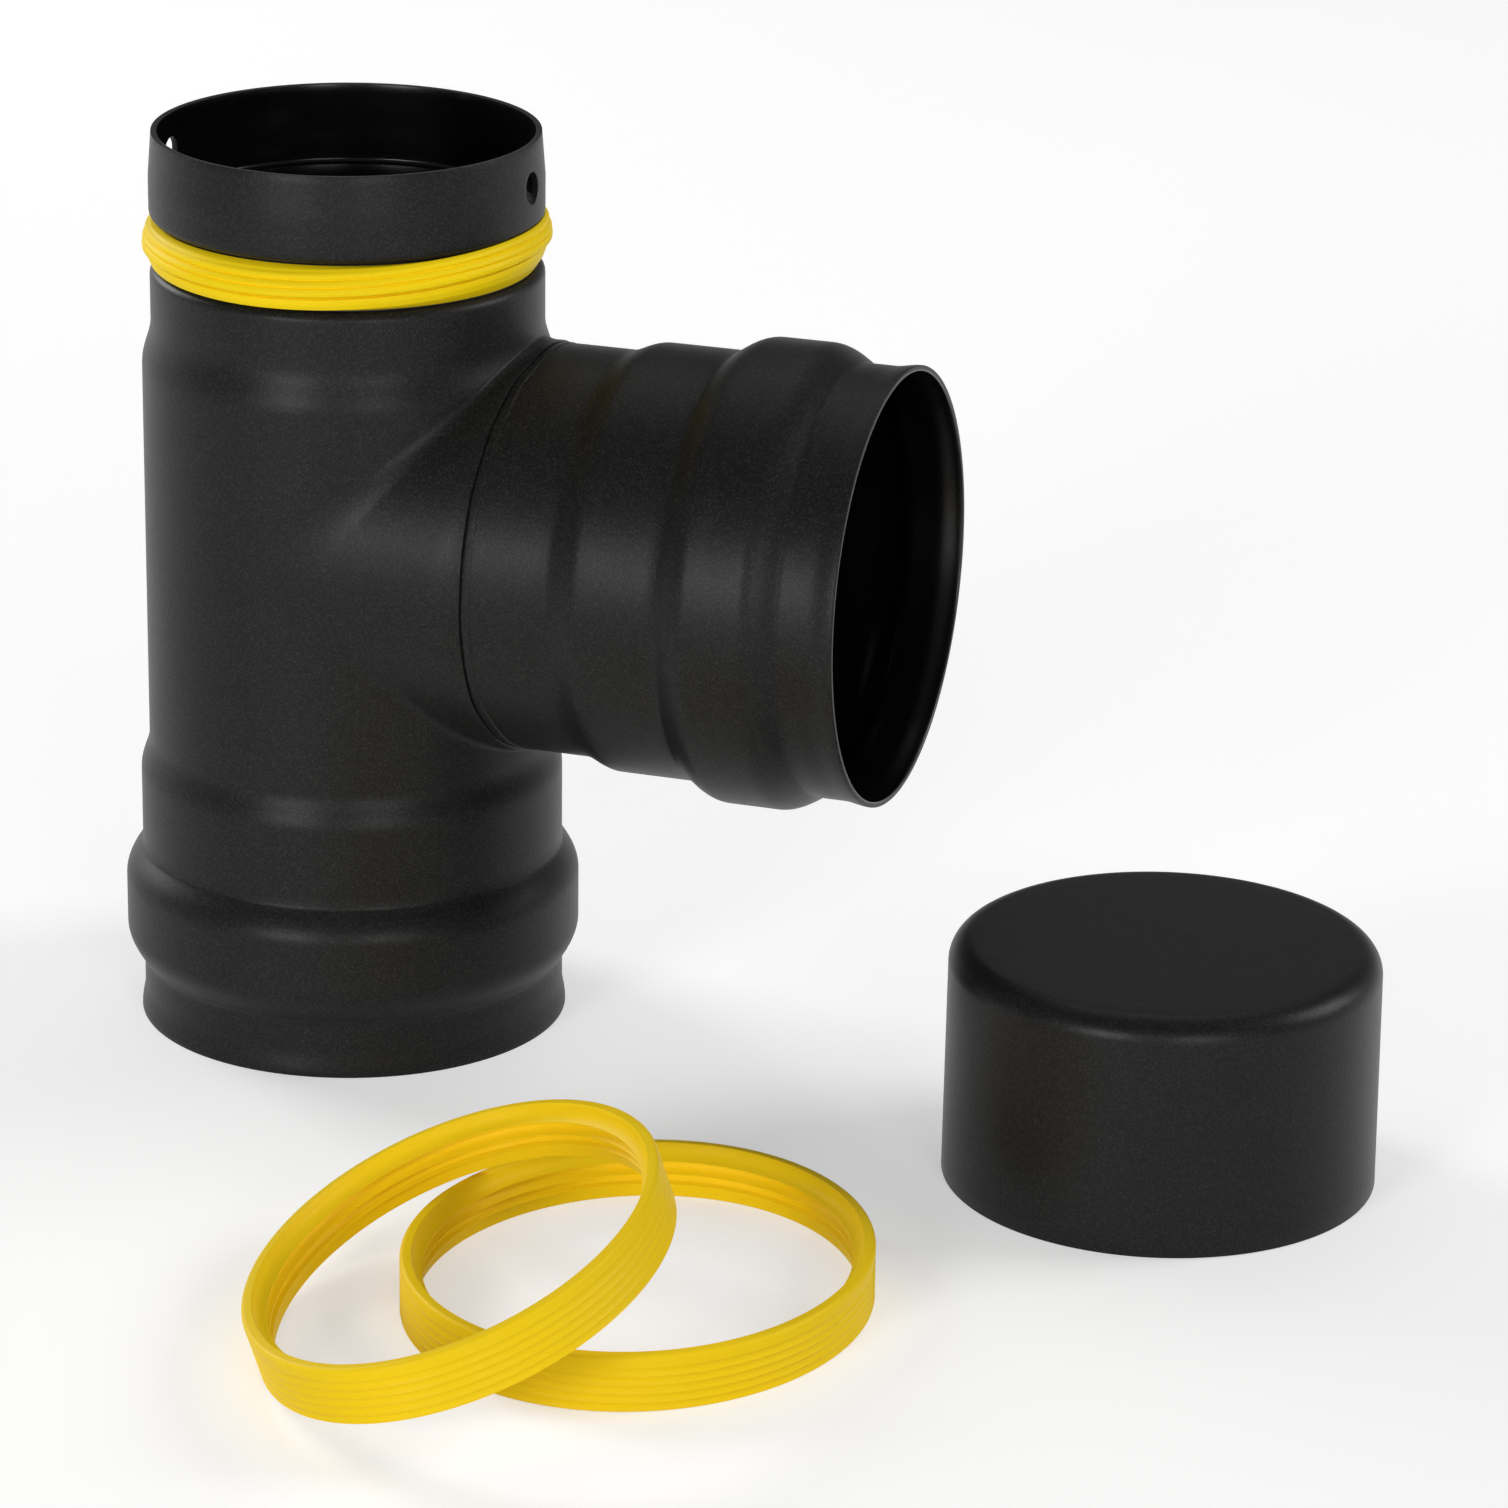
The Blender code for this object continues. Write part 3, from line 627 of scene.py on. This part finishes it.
# The waves that lift the lips round the spigot: height, number in one turn, and phase.
FITTED_SKEW = ((0.00090, 1, 0.0), (0.00065, 1, 0.5 * math.pi), (0.00045, 2, 0.0),
               (-0.00074, 2, 0.5 * math.pi))
SKEW_START = math.radians(-67.6)
seal_grain = bpy.data.node_groups.new("seal_grain", "ShaderNodeTree")
for socket_name, socket_type, in_out in (
        ("Place", "NodeSocketVector", "INPUT"), ("Silicone", "NodeSocketColor", "INPUT"),
        ("Bloom", "NodeSocketColor", "INPUT"), ("Colour", "NodeSocketColor", "OUTPUT"),
        ("Roughness", "NodeSocketFloat", "OUTPUT"), ("Skin", "NodeSocketFloat", "OUTPUT")):
    seal_grain.interface.new_socket(name=socket_name, in_out=in_out, socket_type=socket_type)
grain_in = seal_grain.nodes.new("NodeGroupInput")
grain_out = seal_grain.nodes.new("NodeGroupOutput")
link = seal_grain.links.new
bloom = new_node(seal_grain, "ShaderNodeTexNoise", Scale=140.0, Detail=5.0, Roughness=0.6)
skin = new_node(seal_grain, "ShaderNodeTexNoise", Scale=1100.0, Detail=2.0)
for texture in (bloom, skin):
    link(grain_in.outputs["Place"], texture.inputs["Vector"])
bloom_share = new_node(seal_grain, "ShaderNodeMapRange", From_Min=0.4, From_Max=0.75,
                       To_Min=0.0, To_Max=0.16)
link(bloom.outputs["Fac"], bloom_share.inputs["Value"])
bloom_colour = new_node(seal_grain, "ShaderNodeMix", data_type="RGBA")
link(bloom_share.outputs["Result"], bloom_colour.inputs["Factor"])
link(grain_in.outputs["Silicone"], bloom_colour.inputs["A"])
link(grain_in.outputs["Bloom"], bloom_colour.inputs["B"])
link(bloom_colour.outputs["Result"], grain_out.inputs["Colour"])
bloom_rough = new_node(seal_grain, "ShaderNodeMapRange", From_Min=0.3, From_Max=0.7,
                       To_Min=0.42, To_Max=0.54)
link(bloom.outputs["Fac"], bloom_rough.inputs["Value"])
link(bloom_rough.outputs["Result"], grain_out.inputs["Roughness"])
link(skin.outputs["Fac"], grain_out.inputs["Skin"])


def moulded(name, silicone, bloom_tint):
    """Moulded silicone with a faint bloom on its skin."""
    material = bpy.data.materials.new(name)
    material.use_nodes = True
    tree = material.node_tree
    shader = tree.nodes["Principled BSDF"]
    place = tree.nodes.new("ShaderNodeTexCoord")
    grain = tree.nodes.new("ShaderNodeGroup")
    grain.node_tree = seal_grain
    grain.inputs["Silicone"].default_value = silicone
    grain.inputs["Bloom"].default_value = bloom_tint
    surface = new_node(tree, "ShaderNodeBump", Distance=SILICONE_SKIN, Strength=1.0)
    tree.links.new(place.outputs["Object"], grain.inputs["Place"])
    tree.links.new(grain.outputs["Colour"], shader.inputs["Base Color"])
    tree.links.new(grain.outputs["Roughness"], shader.inputs["Roughness"])
    tree.links.new(grain.outputs["Skin"], surface.inputs["Height"])
    tree.links.new(surface.outputs["Normal"], shader.inputs["Normal"])
    shader.inputs["Specular IOR Level"].default_value = SILICONE_GLOSS
    return material


fitted_silicone = moulded("fitted_silicone", (0.97, 0.70, 0.006, 1.0), (0.95, 0.72, 0.02, 1.0))
groove_floor = groove_radius + FITTED_GAP
fitted_foot = GROOVE_FOOT + FITTED_GAP
fitted_top = GROOVE_TOP - FITTED_GAP
fitted_outline = [(groove_floor, fitted_foot), (groove_floor, fitted_top)]
for lip, drop in FITTED_FACE:
    fitted_outline.append((SPIGOT_RADIUS + lip * FITTED_LIP,
                           fitted_top + (fitted_foot - fitted_top) * drop))
fitted_seal = spin_outline("fitted_seal", fitted_outline, range(len(fitted_outline)),
                           FITTED_ROUNDING, TURN_SIDES)
for vertex in fitted_seal.data.vertices:
    angle = math.atan2(vertex.co.y, vertex.co.x) - SKEW_START
    skew = sum(size * math.sin(times * angle + phase) for size, times, phase in FITTED_SKEW)
    out = (math.hypot(vertex.co.x, vertex.co.y) - groove_floor) / (SPIGOT_RADIUS - groove_floor)
    vertex.co.z += skew * max(0.0, min(1.0, out))
settle(fitted_seal, RUN_PLACE, (0.0, 0.0, 0.0))
fitted_seal.data.materials.append(fitted_silicone)
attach(fitted_seal, "root")
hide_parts("spigot_seal")

# Loose seals for the two sockets, moulded in yellow silicone: flutes outside, and inside a funnel,
# three lips and a plain band. One lies flat, and the other leans on its top edge. They are soft,
# so both lie pressed a little oval.
SEAL_RADIUS = 0.04725
SEAL_HEIGHT = 0.0110
SEAL_SHOULDER = 0.0009
SEAL_SMOOTHING = math.radians(28.0)
FLUTE_DEPTH = 0.00028
FLUTE_COUNT = 5
FLUTE_TOP = 0.0086
FLUTE_STEPS = 6
# The inside, as depths in from the outside and heights over the lower edge.
SEAL_INSIDE = ((0.0029, 0.0000), (0.0028, 0.0020), (0.0029, 0.0023), (0.0036, 0.0026),
               (0.0036, 0.0028), (0.0028, 0.0033), (0.0024, 0.0040), (0.0024, 0.0045),
               (0.0039, 0.0049), (0.0039, 0.0051), (0.0031, 0.0056), (0.0026, 0.0062),
               (0.0024, 0.0068), (0.0024, 0.0073), (0.0042, 0.0077), (0.0042, 0.0079),
               (0.0036, 0.0082), (0.0030, 0.0087), (0.0026, 0.0093), (0.0024, 0.0100),
               (0.0023, 0.0107), (0.0021, 0.0110))
FLAT_OVAL = 0.064
FLAT_LONG_AXIS = math.radians(92.8)
LEANING_OVAL = 0.149
LEANING_LONG_AXIS = math.radians(86.2)
LEANING_OFFSET = Vector((0.0842, -0.1507, 0.0))
LEANING_SLOPE = math.radians(17.96)
LEANING_TURN = math.radians(17.8)
loose_silicone = moulded("loose_silicone", (0.93, 0.635, 0.007, 1.0), (0.92, 0.67, 0.02, 1.0))
shoulder_centre = (SEAL_RADIUS - SEAL_SHOULDER, SEAL_HEIGHT - SEAL_SHOULDER)
seal_outline = arc_points(shoulder_centre, SEAL_SHOULDER, 90.0, 0.0, 6)
seal_outline.append((SEAL_RADIUS, FLUTE_TOP))
flute_rows = FLUTE_COUNT * FLUTE_STEPS
for step in range(1, flute_rows + 1):
    across = (step % FLUTE_STEPS) / FLUTE_STEPS
    hollow = 4.0 * FLUTE_DEPTH * across * (1.0 - across)
    seal_outline.append((SEAL_RADIUS - hollow, FLUTE_TOP * (1.0 - step / flute_rows)))
seal_outline += [(SEAL_RADIUS - inward, height) for inward, height in SEAL_INSIDE]


def press_oval(piece, oval, long_axis):
    """Presses a soft ring oval, long along an angle, with its wall as thick as before."""
    press = SEAL_RADIUS * oval
    for vertex in piece.data.vertices:
        angle = math.atan2(vertex.co.y, vertex.co.x) - long_axis
        along = press * math.cos(angle)
        across = -press * math.sin(angle)
        vertex.co.x += along * math.cos(long_axis) - across * math.sin(long_axis)
        vertex.co.y += along * math.sin(long_axis) + across * math.cos(long_axis)


flat_low, flat_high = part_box("base_seal")
flat_place = Vector((0.5 * (flat_low[0] + flat_high[0]), 0.5 * (flat_low[1] + flat_high[1]), 0.0))
for seal_name, node_name, seal_place, seal_slope, seal_turn, seal_oval, long_axis in (
        ("flat_seal", "base_seal", flat_place, 0.0, 0.0, FLAT_OVAL, FLAT_LONG_AXIS),
        ("leaning_seal", "branch_seal", RUN_PLACE + LEANING_OFFSET, LEANING_SLOPE, LEANING_TURN,
         LEANING_OVAL, LEANING_LONG_AXIS)):
    seal = spin_outline(seal_name, seal_outline, (), 0.0, TURN_SIDES)
    press_oval(seal, seal_oval, long_axis)
    low_side = min(vertex.co.x for vertex in seal.data.vertices)
    rise = Vector((0.0, 0.0, -low_side * math.sin(seal_slope)))
    settle(seal, seal_place + rise, (0.0, -seal_slope, seal_turn))
    bpy.ops.object.shade_smooth_by_angle(angle=SEAL_SMOOTHING)
    seal.data.materials.append(loose_silicone)
    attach(seal, "root")
    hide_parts(node_name)

# End cap: a disc pressed into a straight skirt, with a wide rounded edge, open end down. It is
# painted as the tee is.
CAP_RADIUS = 0.0429
CAP_TAPER = 0.0004
CAP_HEIGHT = 0.0485
CAP_EDGE = 0.0050
cap_low, cap_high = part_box("end_cap")
cap_place = Vector((0.5 * (cap_low[0] + cap_high[0]), 0.5 * (cap_low[1] + cap_high[1]), 0.0))
edge_centre = (CAP_RADIUS - CAP_TAPER - CAP_EDGE, CAP_HEIGHT - CAP_EDGE)
cap_outline = [(CAP_RADIUS, 0.0)]
cap_outline += wall_points(cap_outline[-1], (CAP_RADIUS - CAP_TAPER, CAP_HEIGHT - CAP_EDGE), 10)
cap_outline += arc_points(edge_centre, CAP_EDGE, 0.0, 90.0, 14)[1:]
cap_outline += wall_points(cap_outline[-1], (0.0, CAP_HEIGHT), 10)
cap_outline += [(0.0, CAP_HEIGHT - WALL)]
cap_outline += wall_points(cap_outline[-1], (edge_centre[0], CAP_HEIGHT - WALL), 10)
cap_outline += arc_points(edge_centre, CAP_EDGE - WALL, 90.0, 0.0, 10)[1:]
cap_outline += wall_points(cap_outline[-1], (CAP_RADIUS - WALL, 0.0), 8)
cap_shell = spin_outline("cap_shell", cap_outline, (0, len(cap_outline) - 1),
                         RIM_ROUNDING, TURN_SIDES)
settle(cap_shell, cap_place, (0.0, 0.0, 0.0))
cap_paint = painted("stove_paint_cap", (0.0072, 0.0074, 0.0078, 1.0),
                    (0.12, 0.118, 0.112, 1.0), 0.14, 0.38, 0.18, 0.00004)
cap_shell.data.materials.append(cap_paint)
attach(cap_shell, "root")
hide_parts("end_cap")
